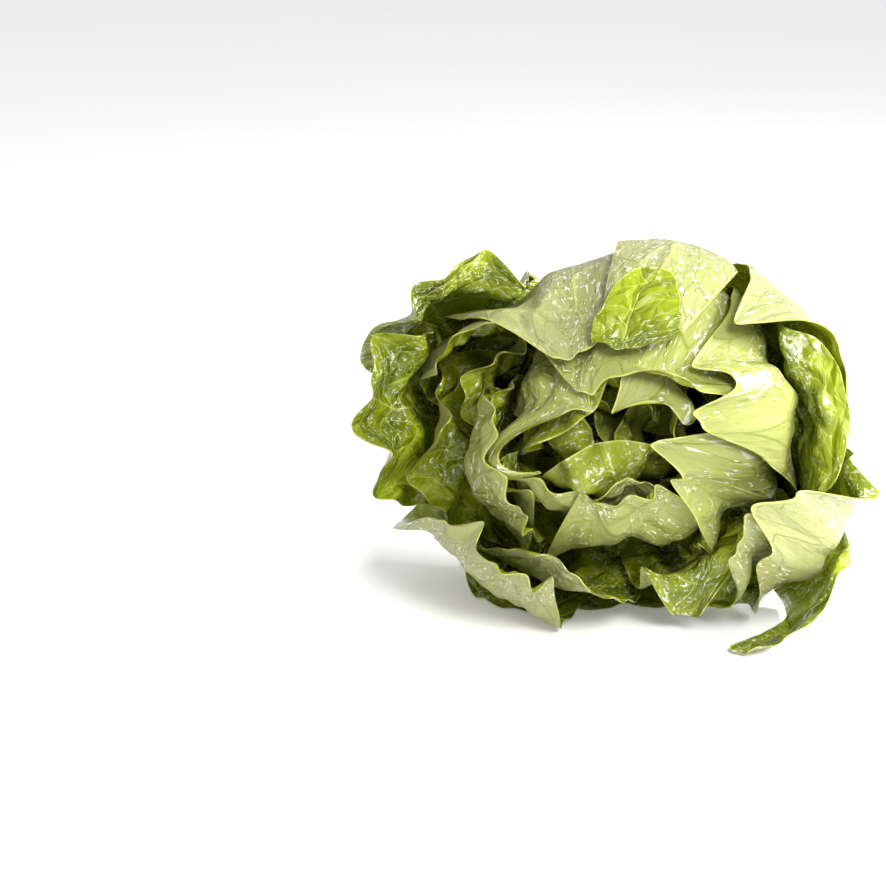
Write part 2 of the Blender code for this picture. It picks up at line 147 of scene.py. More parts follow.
def cut_stem():
    finish = Finish("cut_stem")
    place = finish.node("ShaderNodeTexCoord", {}, {}, "Object")
    from_butt = finish.node("ShaderNodeVectorMath", {"operation": "SUBTRACT"}, {0: place, 1: tuple(BUTT)})
    height = finish.node("ShaderNodeVectorMath", {"operation": "DOT_PRODUCT"},
                         {0: from_butt, 1: tuple(head_axes()[2])}, "Value")
    distance = finish.node("ShaderNodeVectorMath", {"operation": "LENGTH"}, {0: from_butt}, "Value")
    from_middle = (distance ** 2.0 - height ** 2.0) ** 0.5
    clouds = finish.noise(place, 0.004)
    cut = 1 - height.rise(0.0002, 0.0012)
    ring = from_middle.rise(0.0075, 0.0135) * cut
    flesh = finish.mixed((0.62, 0.66, 0.36), (0.74, 0.76, 0.52), clouds)
    flesh = finish.mixed(flesh, (0.42, 0.27, 0.12), ring * clouds.rise(0.25, 0.6))
    fibres = finish.noise(place, 0.0012, 4.0)
    bump = finish.node("ShaderNodeBump", {}, {"Height": fibres * 0.0003, "Distance": 1.0}, "Normal")
    shader = finish.node("ShaderNodeBsdfPrincipled", {}, {
        "Base Color": flesh, "Roughness": 0.3 + 0.3 * ring, "Normal": bump})
    return finish.surface(shader)


stem_material = cut_stem()
stem_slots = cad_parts["stem"].data.materials
stem_slots.clear()
stem_slots.append(stem_material)

# The heart is ten small leaves folded shut over one another. Each is a thin soft blade, narrow at the root,
# laid round a ball that the next leaf wraps again, so every blade keeps clear of the one inside it.

SHOULDER, FOOT_WIDTH = 0.56, 0.17   # how far up its length a leaf is at its widest, and its foot's share
STEM_GAP = 0.0014
LEAF_GAP, BASE_GAP = 0.0029, 0.0014
CAD_THICKNESS, BLADE_THICKNESS = 0.0008, 0.0006
RIB_HEIGHT, RIB_SPREAD = 0.0011, 0.0035
GROUND_STEP = 0.0015
# The head stands on three places of its lowest leaf, and between them that leaf is this much clear.
STANDS_AT = ((-0.067, 0.032), (0.066, 0.014), (-0.008, -0.020))
STAND_REACH, CLEAR_BETWEEN = 0.030, 0.0008
HEART_MIDDLE = 0.070
HEART_FIRST, HEART_LAST = 0.011, 0.038
HEART_LEAVES = 10
GOLDEN_ANGLE = 137.5
HEART_RUFFLE = 0.0030, 0.0075
HEART_FOLD = 0.030
HEART_BLEND = 0.001
# The plain form of a leaf is laid on few cells, as its solid is, and the fine leaf follows that form.
HEART_PLAIN_CELLS, HEART_PLAIN_GRID = (7, 8), (110, 110)
HEART_FINE_CELLS, HEART_FINE_GRID = (40, 44), (180, 180)
PLAIN_RIPPLE, FINE_RIPPLE = 0.20, 0.34
CREASE_SIZE, CREASE_DEPTH = 0.017, 0.0014
FINE_GAP, FINE_BLEND = 0.0012, 0.0015


def ease(start, end, x):
    t = np.clip((x - start) / (end - start), 0, 1)
    return t * t * (3 - 2 * t)


def stem_radius(height):
    return NECK_RADIUS + (FOOT_RADIUS - NECK_RADIUS) * (NECK_HEIGHT - height) / (NECK_HEIGHT - FOOT_HEIGHT)


def to_world(points, leaves_beneath):
    """Points of the head in the world. A leaf that would sink lies on the ground or on those beneath."""
    world = points @ head_axes() + BUTT
    away = np.min([np.hypot(world[..., 0] - x, world[..., 1] - y) for x, y in STANDS_AT], axis=0)
    ground = CAD_THICKNESS / 2 + GROUND_STEP * leaves_beneath + CLEAR_BETWEEN * ease(0, STAND_REACH, away)
    world[..., 2] = np.maximum(world[..., 2], ground)
    return world


def outline(across, along, length, half):
    """A leaf laid flat: narrow at the root, widening to a round end whose middle line is at SHOULDER."""
    rising, ending = np.minimum(along / SHOULDER, 1), np.clip((along - SHOULDER) / (1 - SHOULDER), 0, 1)
    width = FOOT_WIDTH + (1 - FOOT_WIDTH) * np.sin(0.5 * np.pi * rising) ** 1.3
    x = half * width * across * np.sqrt(1 - 0.5 * ending ** 2)
    y = length * (SHOULDER * rising + (1 - SHOULDER) * ending * np.sqrt(1 - 0.5 * across ** 2))
    edge = (1 - (1 - np.abs(across) ** 2.6) * (1 - along ** 3.5)) * ease(0.05, 0.60, along)
    return x, y, edge


def bumps(x, y, seed, size, count=9):
    """Soft folds over a leaf, between about -1 and 1."""
    rng = np.random.default_rng(seed)
    total = np.zeros_like(x)
    for _ in range(count):
        heading = rng.uniform(0, 2 * np.pi)
        pitch = 2 * np.pi / size * rng.uniform(0.6, 1.5)
        total += np.sin(pitch * (x * np.cos(heading) + y * np.sin(heading)) + rng.uniform(0, 2 * np.pi))
    return total / math.sqrt(count)


def edge_waves(x, y, edge, length, waves, phase, ripple):
    """Waves that run round a leaf's edge and die away towards its middle."""
    round_edge = np.arctan2(x, y - 0.35 * length)
    wave = (np.sin(waves * round_edge + phase) + 0.5 * np.sin(2.3 * waves * round_edge + 1.7 * phase + 1)
            + ripple * np.sin(4.1 * waves * round_edge + 2.9 * phase + 2))
    return (wave + 0.8) * edge ** 1.8


class Laid:
    """How far out the leaves laid so far reach, on a grid over the two coordinates they spread in."""

    def __init__(self, low, high, cells, closed):
        self.low, self.high, self.cells, self.closed = low, high, cells, closed
        self.grid = np.full(cells, -1.0)

    def place(self, *at):
        """Cell positions, each clipped to the grid unless that way round is closed."""
        found = []
        for k in (0, 1):
            i = (at[k] - self.low[k]) / (self.high[k] - self.low[k]) * self.cells[k]
            found.append(i % self.cells[k] if self.closed[k] else np.clip(i, 0, self.cells[k] - 1.001))
        return found

    def neighbours(self, grid, axis):
        before, after = np.roll(grid, 1, axis), np.roll(grid, -1, axis)
        if not self.closed[axis]:
            edge = [slice(None), slice(None)]
            edge[axis] = 0
            before[tuple(edge)] = grid[tuple(edge)]
            edge[axis] = -1
            after[tuple(edge)] = grid[tuple(edge)]
        return before, after

    def widened(self, cells=1):
        grid = self.grid
        for axis in (0, 1) * cells:
            grid = np.maximum(grid, np.maximum(*self.neighbours(grid, axis)))
        return grid

    def softened(self, cells=3):
        """The same with its steps eased off, yet nowhere lower than widened by one cell."""
        grid = self.widened(cells)
        for axis in (0, 1) * (cells - 1):
            before, after = self.neighbours(grid, axis)
            grid = 0.25 * before + 0.5 * grid + 0.25 * after
        return grid

    def read(self, grid, *at):
        a, b = self.place(*at)
        a0, b0 = np.floor(a).astype(int), np.floor(b).astype(int)
        fa, fb = a - a0, b - b0
        a0, a1 = a0 % self.cells[0], (a0 + 1) % self.cells[0]
        b1 = np.minimum(b0 + 1, self.cells[1] - 1)
        return ((grid[a0, b0] * (1 - fa) + grid[a1, b0] * fa) * (1 - fb)
                + (grid[a0, b1] * (1 - fa) + grid[a1, b1] * fa) * fb)

    def add(self, height, *at):
        a, b = (np.round(i).astype(int) % n for i, n in zip(self.place(*at), self.cells))
        np.maximum.at(self.grid, (a, b), height)


CORNERS = ((slice(None, -1), slice(None, -1)), (slice(None, -1), slice(1, None)),
           (slice(1, None), slice(None, -1)), (slice(1, None), slice(1, None)))


def facet_weights(parts):
    """How much each corner of a grid cell counts at points spread over the cell's two triangles."""
    t, s = np.meshgrid(np.linspace(0, 1, parts + 1), np.linspace(0, 1, parts + 1), indexing="ij")
    return 1 - np.maximum(s, t), np.maximum(s - t, 0), np.maximum(t - s, 0), np.minimum(s, t)


def over_facets(grid, weights):
    return sum(grid[corner][:, :, None, None] * w for corner, w in zip(CORNERS, weights))


def settle(laid, height, relief, at, size, gap, softness):
    """Raise a leaf's corners until its facets clear what is laid, then lay it too.

    height is the leaf's own grid of heights and at holds its two coordinates. What stands up from it and
    the clear gap are in metres, and size gives the metres in one unit of height.
    """
    low = laid.read(laid.softened(), *at)
    metres = size(*at, np.maximum(low, height))
    low, gap, relief = low + gap / metres, gap / metres, relief / metres
    mix = np.clip(0.5 + 0.5 * (height - low) / softness, 0, 1)
    height = low + (height - low) * mix + softness * mix * (1 - mix) + relief
    weights = facet_weights(max(2, 60 // max(height.shape)))
    places = [over_facets(a, weights) for a in at]
    floor = laid.read(laid.widened(), *places) + 0.9 * over_facets(gap, weights)
    for _ in range(8):
        short = np.clip(floor - over_facets(height, weights), 0, None)
        lift = np.zeros_like(height)
        for corner, weight in zip(CORNERS, weights):
            lift[corner] = np.maximum(lift[corner], np.max(weight * short, axis=(2, 3)))
        height = height + lift
    laid.add(over_facets(height, weights), *places)
    return height


def smooth_reading(grid, count, axis):
    """Numbers along one side of a grid, read at count + 1 places of a smooth curve through them."""
    grid = np.moveaxis(grid, axis, 0)
    last = len(grid) - 1
    place = np.linspace(0, last, count + 1)
    start = np.minimum(place.astype(int), last - 1)
    t = (place - start)[:, None]
    a, b, c, d = (grid[np.clip(start + step, 0, last)] for step in (-1, 0, 1, 2))
    value = b + 0.5 * t * (c - a + t * (2 * a - 5 * b + 4 * c - d + t * (3 * (b - c) + d - a)))
    return np.moveaxis(value, 0, axis)


def drape(laid, height, at, size):
    """Lift a fine leaf just clear of the fine leaves beneath it, where it would touch them, and lay it."""
    low = laid.read(laid.softened(2), *at)
    metres = size(*at, np.maximum(low, height))
    low, softness = low + FINE_GAP / metres, FINE_BLEND / metres
    mix = np.clip(0.5 + 0.5 * (height - low) / softness, 0, 1)
    height = low + (height - low) * mix + softness * mix * (1 - mix)
    weights = facet_weights(2)
    laid.add(over_facets(height, weights), *(over_facets(a, weights) for a in at))
    return height


def leaf_grid(cells):
    return np.meshgrid(np.linspace(-1, 1, cells[0] + 1), np.linspace(0, 1, cells[1] + 1))


# A leaf before it is laid: its flat shape and length, the places it spreads over, its own height there,
# what stands up from that in metres, and its clear gap.
Shape = namedtuple("Shape", "x y length at own out gap")


def lay(laid_plain, laid_fine, plain, fine, size, softness):
    """Lay a leaf's plain form as its solid lies, lay the fine leaf on that form, and give its heights."""
    form = settle(laid_plain, plain.own, plain.out, plain.at, size, plain.gap, softness)
    form = form - plain.out / size(*plain.at, form)
    for axis, corners in enumerate(fine.x.shape):
        form = smooth_reading(form, corners - 1, axis)
    return drape(laid_fine, form + fine.out / size(*fine.at, form), fine.at, size)


def heart_shape(number, cells, ripple, crease):
    """A closed leaf before it is laid, and the directions in which its points lie."""
    rng = np.random.default_rng(number)
    share = number / (HEART_LEAVES - 1)
    radius = HEART_FIRST + (HEART_LAST - HEART_FIRST) * share
    azimuth = math.radians(5 + GOLDEN_ANGLE * (HEART_LEAVES - 1 - number) + rng.uniform(-12, 12))
    root = math.asin(max(0.003, stem_radius(HEART_MIDDLE - radius) + STEM_GAP) / radius)
    over = math.radians(rng.uniform(-28, 10) - 22 * share)
    length, half = radius * (math.pi - root + over), radius * rng.uniform(0.95, 1.15)
    x, y, edge = outline(*leaf_grid(cells), length, half)
    ruffle = HEART_RUFFLE[0] + (HEART_RUFFLE[1] - HEART_RUFFLE[0]) * share
    out = ruffle * edge_waves(x, y, edge, length, 4.6 + share, 2.4 * number, ripple)
    out = out + 0.5 * ruffle * bumps(x, y, 20 + number, HEART_FOLD) + 0.12 * radius * edge ** 3
    out = out + crease * bumps(x, y, 120 + number, CREASE_SIZE)
    polar, side = root + y / radius, x / radius
    ahead, aside, up = np.cos(side) * np.sin(polar), np.sin(side), -np.cos(side) * np.cos(polar)
    direction = np.stack([
        ahead * math.cos(azimuth) - aside * math.sin(azimuth),
        ahead * math.sin(azimuth) + aside * math.cos(azimuth), up], -1)
    from_top = np.arccos(np.clip(up, -1, 1))
    flat = np.maximum(np.hypot(direction[..., 0], direction[..., 1]), 1e-6)
    at = [from_top * direction[..., 0] / flat, from_top * direction[..., 1] / flat]
    gap = BASE_GAP + (LEAF_GAP - BASE_GAP) * ease(0.0, 0.3, y / length)
    return Shape(x, y, length, at, np.full_like(x, radius), out, gap), direction


def heart_leaf(laid_plain, laid_fine, number):
    """One closed leaf: it sets off beside the stem and folds over the top of the ball."""
    plain, _ = heart_shape(number, HEART_PLAIN_CELLS, PLAIN_RIPPLE, 0.0)
    shape, direction = heart_shape(number, HEART_FINE_CELLS, FINE_RIPPLE, CREASE_DEPTH)
    out = lay(laid_plain, laid_fine, plain, shape, lambda *_: 1.0, HEART_BLEND)
    return to_world(direction * out[..., None] + np.array([0, 0, HEART_MIDDLE]), 0), shape


def blade(name, number, points, shape, material):
    """A leaf's two faces and the rim between them, with its flat shape kept on the points for the veins."""
    rows, columns = shape.x.shape
    across, upward = np.gradient(points, axis=1), np.gradient(points, axis=0)
    outward = np.cross(across, upward)
    outward /= np.maximum(np.linalg.norm(outward, axis=-1, keepdims=True), 1e-12)
    along = shape.y / shape.length
    rib = RIB_HEIGHT * (1 - ease(0.05, 0.8, along)) * np.exp(-(shape.x / RIB_SPREAD) ** 2)
    rib = rib * ease(0.0, 0.15, along)
    inner = points - outward * BLADE_THICKNESS / 2
    outer = points + outward * (BLADE_THICKNESS / 2 + rib)[..., None]
    number_of = np.arange(rows * columns).reshape(rows, columns)
    quads = np.stack([number_of[:-1, :-1], number_of[1:, :-1], number_of[1:, 1:], number_of[:-1, 1:]], -1)
    quads = quads.reshape(-1, 4)
    border = np.concatenate([number_of[0, :-1], number_of[:-1, -1],
                             number_of[-1, :0:-1], number_of[:0:-1, 0]])
    beyond = np.roll(border, -1)
    sheet_size = rows * columns
    rim = np.stack([border, beyond, beyond + sheet_size, border + sheet_size], -1)
    faces = np.concatenate([quads, quads[:, ::-1] + sheet_size, rim])
    mesh = bpy.data.meshes.new(name)
    mesh.from_pydata(np.concatenate([inner.reshape(-1, 3), outer.reshape(-1, 3)]), [], faces.tolist())
    sideways = np.abs(np.linspace(-1, 1, columns))[None, :]
    to_side = (1 - sideways) * np.abs(shape.x[:, -1:])
    to_tip = (1 - np.linspace(0, 1, rows))[:, None] * shape.length * np.sqrt(1 - 0.5 * sideways ** 2)
    margin = np.minimum(to_side, to_tip)
    for key, values in (("flat", (shape.x, shape.y, np.full_like(shape.x, 0.37 * number))),
                        ("place", (along, margin, np.zeros_like(along)))):
        both = np.concatenate([np.stack(values, -1).reshape(-1, 3)] * 2)
        if key == "place":
            both[sheet_size:, 2] = 1.0
        mesh.attributes.new(key, "FLOAT_VECTOR", "POINT").data.foreach_set("vector", both.ravel())
    mesh.shade_smooth()
    mesh.set_sharp_from_angle(angle=math.radians(60))
    mesh.materials.append(material)
    piece = bpy.data.objects.new(name, mesh)
    bpy.context.scene.collection.objects.link(piece)
    return piece


def leaf_finish(name, deep, bright, pale, under):
    """Fresh leaf: glossy above and dull beneath, with raised veins, a pale rib and rim, and water drops and a
    wet film in its relief, whose highlights are painted near white into the colour.
    """
    vein_cells, fine_vein_cells, drop_cells = 62.0, 190.0, 380.0    # in a metre
    # The near-white colour below is a painted highlight, for the drops and the wet film.
    painted_highlight_colour, light_through = (0.93, 0.96, 0.88), (0.50, 0.58, 0.01)
    finish = Finish(name)
    flat = finish.node("ShaderNodeAttribute", {"attribute_name": "flat"}, {}, "Vector")
    place = finish.node("ShaderNodeAttribute", {"attribute_name": "place"}, {}, "Vector")
    place = finish.node("ShaderNodeSeparateXYZ", {}, {0: place})
    along, margin, beneath = place, place.other(1), place.other(2)

    wander = finish.noise(flat, 0.020, 2.0, "Color")
    warped = finish.node("ShaderNodeVectorMath", {"operation": "MULTIPLY_ADD"}, {
        0: wander, 1: (0.009, 0.009, 0.0), 2: flat})
    warped_xy = finish.node("ShaderNodeSeparateXYZ", {}, {0: warped})
    x, y = warped_xy - 0.0045, warped_xy.other(1)
    aside = abs(x)
    net = finish.distance_to_edge(warped, vein_cells)
    mesh_veins = 1 - net.rise(0.006, 0.026)
    fine = finish.distance_to_edge(warped, fine_vein_cells)
    fine_veins = 1 - fine.rise(0.02, 0.07)
    steps = (y - aside * 0.85) * 44.0 + x.maths("GREATER_THAN", x, 0.0) * 0.5
    from_lateral = abs(steps.maths("FRACT", steps) - 0.5) * 0.018
    laterals = (1 - from_lateral.rise(0.0001, 0.0006)) * (1 - aside.rise(0.012, 0.045))
    half_rib = 0.0030 * (1 - along.rise(0.0, 1.0)) + 0.0003
    midrib = 1 - (aside / half_rib).rise(0.45, 1.1)
    veins = midrib.most(laterals * 0.8).most(mesh_veins * 0.8).most(fine_veins * 0.2)

    clouds = finish.noise(flat, 0.030, 3.0)
    cells = net.rise(0.0, 0.32)
    upper = finish.mixed(bright, deep, clouds.rise(0.35, 0.65))
    upper = finish.mixed(upper, pale, veins * 0.50)
    upper = finish.mixed(upper, pale, (1 - along.rise(0.02, 0.36)) * 0.8)
    upper = finish.mixed(upper, bright, (1 - margin.rise(0.0, 0.016)) * 0.7)
    lower = finish.mixed(under, bright, clouds.rise(0.45, 0.75) * 0.22)
    lower = finish.mixed(lower, deep, finish.noise(flat, 0.0011, 2.0).rise(0.48, 0.72) * 0.28)
    lower = finish.mixed(lower, deep, (1 - net.rise(0.004, 0.017)).most(laterals * 0.4) * 0.60)
    lower = finish.mixed(lower, pale, midrib * 0.35)
    lower = finish.mixed(lower, pale, (1 - along.rise(0.02, 0.42)) * 0.8)
    colour = finish.mixed(upper, lower, beneath)
    colour = finish.mixed(colour, pale, (1 - margin.rise(0.0002, 0.0009)) * 0.65)

    drops = finish.node("ShaderNodeTexVoronoi", {}, {"Vector": flat, "Scale": drop_cells})
    chance = finish.node("ShaderNodeSeparateXYZ", {}, {0: drops.other("Color")})
    wet = finish.noise(flat, 0.030, 1.0).rise(0.38, 0.56)
    radius = chance.other(1) * 0.26 + 0.16
    dome = (1 - (drops / radius) ** 2.0).most(0.0) ** 0.5 * wet * chance.rise(0.45, 0.50)
    film = finish.noise(flat, 0.0040, 1.0)
    # Painted highlights: a near-white dot is painted into the colour at the middle of each drop, and thin
    # curly near-white lines are painted over the wet patches.
    painted_drop_glints = (1 - (drops / radius).rise(0.30, 0.50)) * dome.rise(0.05, 0.20)
    painted_wet_curls = (1 - abs(film - 0.5).rise(0.012, 0.040)) * finish.noise(flat, 0.0025, 0.0).rise(0.50, 0.60) * wet
    colour = finish.mixed(colour, painted_highlight_colour, painted_drop_glints.most(painted_wet_curls) * 0.65)

    facing = 1 - beneath * 1.4
    relief = (cells * 0.0024 + fine.rise(0.0, 0.3) * 0.00040 - laterals * 0.0003 - midrib * 0.0005) * facing
    height = relief + dome * radius * 0.0024 + film * wet * 0.0009
    bump = finish.node("ShaderNodeBump", {}, {"Height": height, "Distance": 1.0}, "Normal")
    gloss = 0.34 + 0.14 * beneath + 0.10 * clouds
    blade_shader = finish.node("ShaderNodeBsdfPrincipled", {}, {
        "Base Color": colour, "Roughness": gloss * (1 - dome.rise(0.0, 0.2).most(wet * 0.65) * 0.85),
        "Normal": bump, "Specular IOR Level": 0.35,
        "Coat Weight": wet * 0.28, "Coat Roughness": 0.05})
    through = finish.node("ShaderNodeBsdfTranslucent", {}, {"Color": light_through})
    return finish.surface(finish.node("ShaderNodeMixShader", {}, {0: 0.18, 1: blade_shader, 2: through}))


heart_material = leaf_finish("heart_leaf_skin", (0.15, 0.190, 0.003), (0.32, 0.38, 0.006), (0.62, 0.65, 0.14),
                             (0.27, 0.31, 0.030))
plain_heart, fine_heart = (Laid((-math.pi, -math.pi), (math.pi, math.pi), grid, (False, False))
                           for grid in (HEART_PLAIN_GRID, HEART_FINE_GRID))
for number in range(HEART_LEAVES):
    node = f"heart_leaf_{number + 1:02d}"
    piece = blade(f"fine_{node}", number, *heart_leaf(plain_heart, fine_heart, number), heart_material)
    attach(piece, "root")
    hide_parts(node)

# Fourteen cupped head leaves stand round the heart, and thirteen looser wrapper leaves round those. Each one
# rises from the stem in a smooth sweep, is pushed out by the leaves inside it, and waves along its margin.

INNER_ROOT_ANGLE, INNER_TIP_ANGLE, INNER_REACH = 14.0, 168.0, 0.088
# azimuth round the rosette (0 right, 90 up), angles at root and tip and reach of an outer leaf there
OUTER_FORM = (
    (0, 0, 84, 0.160), (30, 0, 100, 0.170), (60, 0, 140, 0.190), (90, 0, 158, 0.200), (120, 0, 146, 0.186),
    (145, 0, 100, 0.164), (180, -12, 80, 0.146), (225, -42, 84, 0.142), (270, -50, 86, 0.150),
    (300, -44, 82, 0.148), (330, -20, 76, 0.160),
)
CROWN_ROUND = 0.006
NARROWEST_WRAP = 0.016
LEAF_FOLD = 0.055
TIP_ROLL, SIDE_ROLL = 0.32, 0.50
BEND_FROM = 0.50
# folds all open leaves share: metres outwards, how many round the head, turn per metre of leaf, phase
HEAD_FOLDS = ((0.004, 3, 30, 0), (0.003, 5, -45, 1), (0.003, 2, 60, 2))
PLAIN_CELLS, PLAIN_GRID = (10, 11), (150, 104)
FINE_CELLS, FINE_GRID = (72, 76), (260, 180)
LONGEST_LEAF = 0.26
LAYER_BLEND = 0.02
Leaf = namedtuple("Leaf", "name azimuth layer length half flare bend ruffle waves phase tip left right")
# azimuth in degrees; length and half width in metres; flare at the tip, in layers out; sideways bend in
# radians; ruffle in metres; waves round the edge; how far the tip and the two edges roll back, in radians
HEAD_LEAVES = (
    Leaf("head_leaf_01", 260, 0.260, 0.111, 0.059, -0.09, 0.06, 0.0030, 7.2, 4.2, -0.3, -0.3, 0.7),
    Leaf("head_leaf_02", 111, 0.290, 0.141, 0.049, 0.06, 0.11, 0.0028, 5.3, 6.5, -0.1, -0.3, -0.3),
    Leaf("head_leaf_03", 350, 0.320, 0.100, 0.048, 0.04, 0.00, 0.0050, 5.6, 1.1, 0.0, 0.0, 0.0),
    Leaf("head_leaf_04", 196, 0.350, 0.104, 0.050, 0.04, 0.00, 0.0055, 5.2, 3.0, 0.0, 0.0, 0.4),
    Leaf("head_leaf_05", 50, 0.385, 0.114, 0.052, 0.00, 0.00, 0.0030, 4.3, 4.0, -0.2, 0.0, 0.0),
    Leaf("head_leaf_06", 290, 0.420, 0.126, 0.052, -0.07, 0.05, 0.0058, 3.9, 1.2, -0.3, 0.7, 0.0),
    Leaf("head_leaf_07", 200, 0.455, 0.130, 0.049, 0.08, 0.60, 0.0057, 8.6, 0.7, -0.2, 0.5, -0.2),
    Leaf("head_leaf_08", 26, 0.490, 0.134, 0.049, 0.14, -0.02, 0.0100, 6.3, 5.2, -0.2, 0.0, 0.7),
    Leaf("head_leaf_09", 347, 0.525, 0.139, 0.046, -0.09, -0.52, 0.0093, 7.7, 4.0, 0.0, 0.7, -0.1),
    Leaf("head_leaf_10", 72, 0.560, 0.160, 0.055, 0.03, 0.25, 0.0080, 4.8, 3.2, -0.1, 0.5, -0.1),
    Leaf("head_leaf_11", 317, 0.600, 0.143, 0.046, 0.07, -0.50, 0.0135, 3.6, 0.9, 0.0, 0.6, 0.2),
    Leaf("head_leaf_12", 146, 0.630, 0.106, 0.048, -0.11, 0.16, 0.0086, 4.7, 0.7, 0.1, -0.2, 0.5),
    Leaf("head_leaf_13", 17, 0.660, 0.156, 0.050, -0.06, 0.18, 0.0030, 4.7, 2.3, -0.1, 0.0, 0.3),
    Leaf("head_leaf_14", 191, 0.690, 0.110, 0.069, 0.02, 0.60, 0.0135, 6.1, 1.5, 0.5, 0.7, -0.1),
    Leaf("wrapper_leaf_01", 254, 0.725, 0.144, 0.053, -0.08, -0.06, 0.0032, 6.2, 5.6, 0.3, -0.2, 0.7),
    Leaf("wrapper_leaf_02", 5, 0.750, 0.174, 0.054, 0.16, 0.24, 0.0071, 3.7, 0.9, 0.9, 0.4, 0.7),
    Leaf("wrapper_leaf_03", 135, 0.775, 0.142, 0.050, 0.03, 0.12, 0.0045, 7.8, 6.7, 0.0, -0.2, 0.3),
    Leaf("wrapper_leaf_04", 328, 0.800, 0.162, 0.052, -0.08, -0.04, 0.0025, 5.6, 2.6, 0.3, -0.3, 0.7),
    Leaf("wrapper_leaf_05", 101, 0.825, 0.163, 0.062, -0.10, 0.05, 0.0029, 3.8, 3.6, 0.1, 0.2, 0.4),
    Leaf("wrapper_leaf_06", 69, 0.840, 0.230, 0.024, -0.10, 0.30, 0.0030, 5.4, 2.4, 2.8, 0.1, 0.1),
    Leaf("wrapper_leaf_07", 24, 0.850, 0.167, 0.056, -0.07, 0.03, 0.0050, 6.7, 0.0, -0.3, 0.4, 0.2),
    Leaf("wrapper_leaf_08", 336, 0.875, 0.177, 0.055, -0.03, 0.04, 0.0128, 6.8, 6.1, 0.0, -0.3, 0.7),
    Leaf("wrapper_leaf_09", 174, 0.900, 0.172, 0.050, 0.04, -0.02, 0.0135, 7.3, 2.8, 0.4, 0.5, 0.7),
    Leaf("wrapper_leaf_10", 234, 0.925, 0.176, 0.065, -0.12, 0.34, 0.0096, 7.4, 2.6, -0.2, 0.6, 0.7),
    Leaf("wrapper_leaf_11", 144, 0.950, 0.166, 0.050, 0.08, -0.29, 0.0124, 7.4, 3.2, 0.9, -0.1, 0.7),
    Leaf("wrapper_leaf_12", 332, 0.975, 0.232, 0.025, 0.10, -1.55, 0.0030, 6.0, 3.0, 0.0, 0.8, 0.8),
    Leaf("wrapper_leaf_13", 268, 1.000, 0.146, 0.084, 0.00, 0.00, 0.0090, 6.4, 2.0, 0.9, 0.0, 0.0),
)


def ring_values(column, degrees):
    """A column of OUTER_FORM read smoothly round the ring."""
    knots = [row[0] for row in OUTER_FORM]
    values = [row[column] for row in OUTER_FORM]
    nearby = [np.interp(degrees + turn, knots, values, period=360) for turn in (-14, -7, 0, 7, 14)]
    return np.mean(nearby, axis=0)


RING = np.arange(0, 361)
RING_ROOT = np.radians(ring_values(1, RING))
RING_TIP = np.radians(ring_values(2, RING))
RING_REACH = ring_values(3, RING)


def profile(azimuth, length, layer):
    """Distance from the axis and height along it, that far up a leaf of that layer."""
    degrees = np.degrees(azimuth) % 360
    root_outer, tip_outer, reach_outer = (np.interp(degrees, RING, ring)
                                          for ring in (RING_ROOT, RING_TIP, RING_REACH))
    root = math.radians(INNER_ROOT_ANGLE) * (1 - layer) + root_outer * layer
    tip = math.radians(INNER_TIP_ANGLE) * (1 - layer) + tip_outer * layer
    reach = INNER_REACH * (1 - layer) + reach_outer * layer
    up = NECK_HEIGHT + (FOOT_HEIGHT - NECK_HEIGHT) * layer
    out = stem_radius(up) + STEM_GAP
    turn = (tip - root) / reach
    turn = np.where(np.abs(turn) < 1e-3, 1e-3, turn)
    angle = root + turn * length
    out = out + (np.sin(angle) - np.sin(root)) / turn
    up = up - (np.cos(angle) - np.cos(root)) / turn
    return out, up


def head_point(azimuth, length, layer):
    out, up = profile(azimuth, length, layer)
    out = 0.5 * (out + np.sqrt(out ** 2 + CROWN_ROUND ** 2))
    return np.stack([out * np.cos(azimuth), out * np.sin(azimuth), up], -1)


def layer_size(azimuth, length, layer):
    """Metres outwards for one whole layer at that place."""
    step = 0.01
    apart = head_point(azimuth, length, layer + step) - head_point(azimuth, length, layer - step)
    return np.maximum(np.linalg.norm(apart, axis=-1) / (2 * step), 0.02)


def rolled(past, zone, turn):
    """What lies past a fold line, rolled back by turn over the zone: new distance and outward offset."""
    if abs(turn) < 1e-3:
        return past, np.zeros_like(past)
    radius = zone / turn
    around = np.clip(past, 0, None) / radius
    return np.where(past > 0, radius * np.sin(around), past), radius * (1 - np.cos(around))


def bent(x, y, length, turn):
    """The flat leaf with its upper part curved sideways, by turn at the tip."""
    if abs(turn) < 1e-3:
        return x, y
    start = BEND_FROM * length
    radius = (length - start) / turn
    around = np.clip(y - start, 0, None) / radius
    return (np.where(y > start, radius * (1 - np.cos(around)) + x * np.cos(around), x),
            np.where(y > start, start + (radius - x) * np.sin(around), y))


def heart_reach(laid_heart, grid):
    """The layer at which an open leaf clears the heart, laid on the grid for the leaves around it."""
    laid = Laid((0, 0), (2 * math.pi, LONGEST_LEAF), grid, (True, False))
    azimuth, length = np.meshgrid(*(np.arange(n) / n * high for n, high in zip(grid, laid.high)),
                                  indexing="ij")
    for layer in np.arange(1.0, -0.05, -0.02):
        point = head_point(azimuth, length, layer) - np.array([0, 0, HEART_MIDDLE])
        distance = np.linalg.norm(point, axis=-1)
        from_top = np.arccos(np.clip(point[..., 2] / distance, -1, 1))
        flat = np.maximum(np.hypot(point[..., 0], point[..., 1]), 1e-6)
        at = [from_top * point[..., 0] / flat, from_top * point[..., 1] / flat]
        inside = distance < laid_heart.read(laid_heart.widened(), *at) + 1.2 * LEAF_GAP
        laid.grid = np.where(inside & (laid.grid < layer), layer, laid.grid)
    return laid


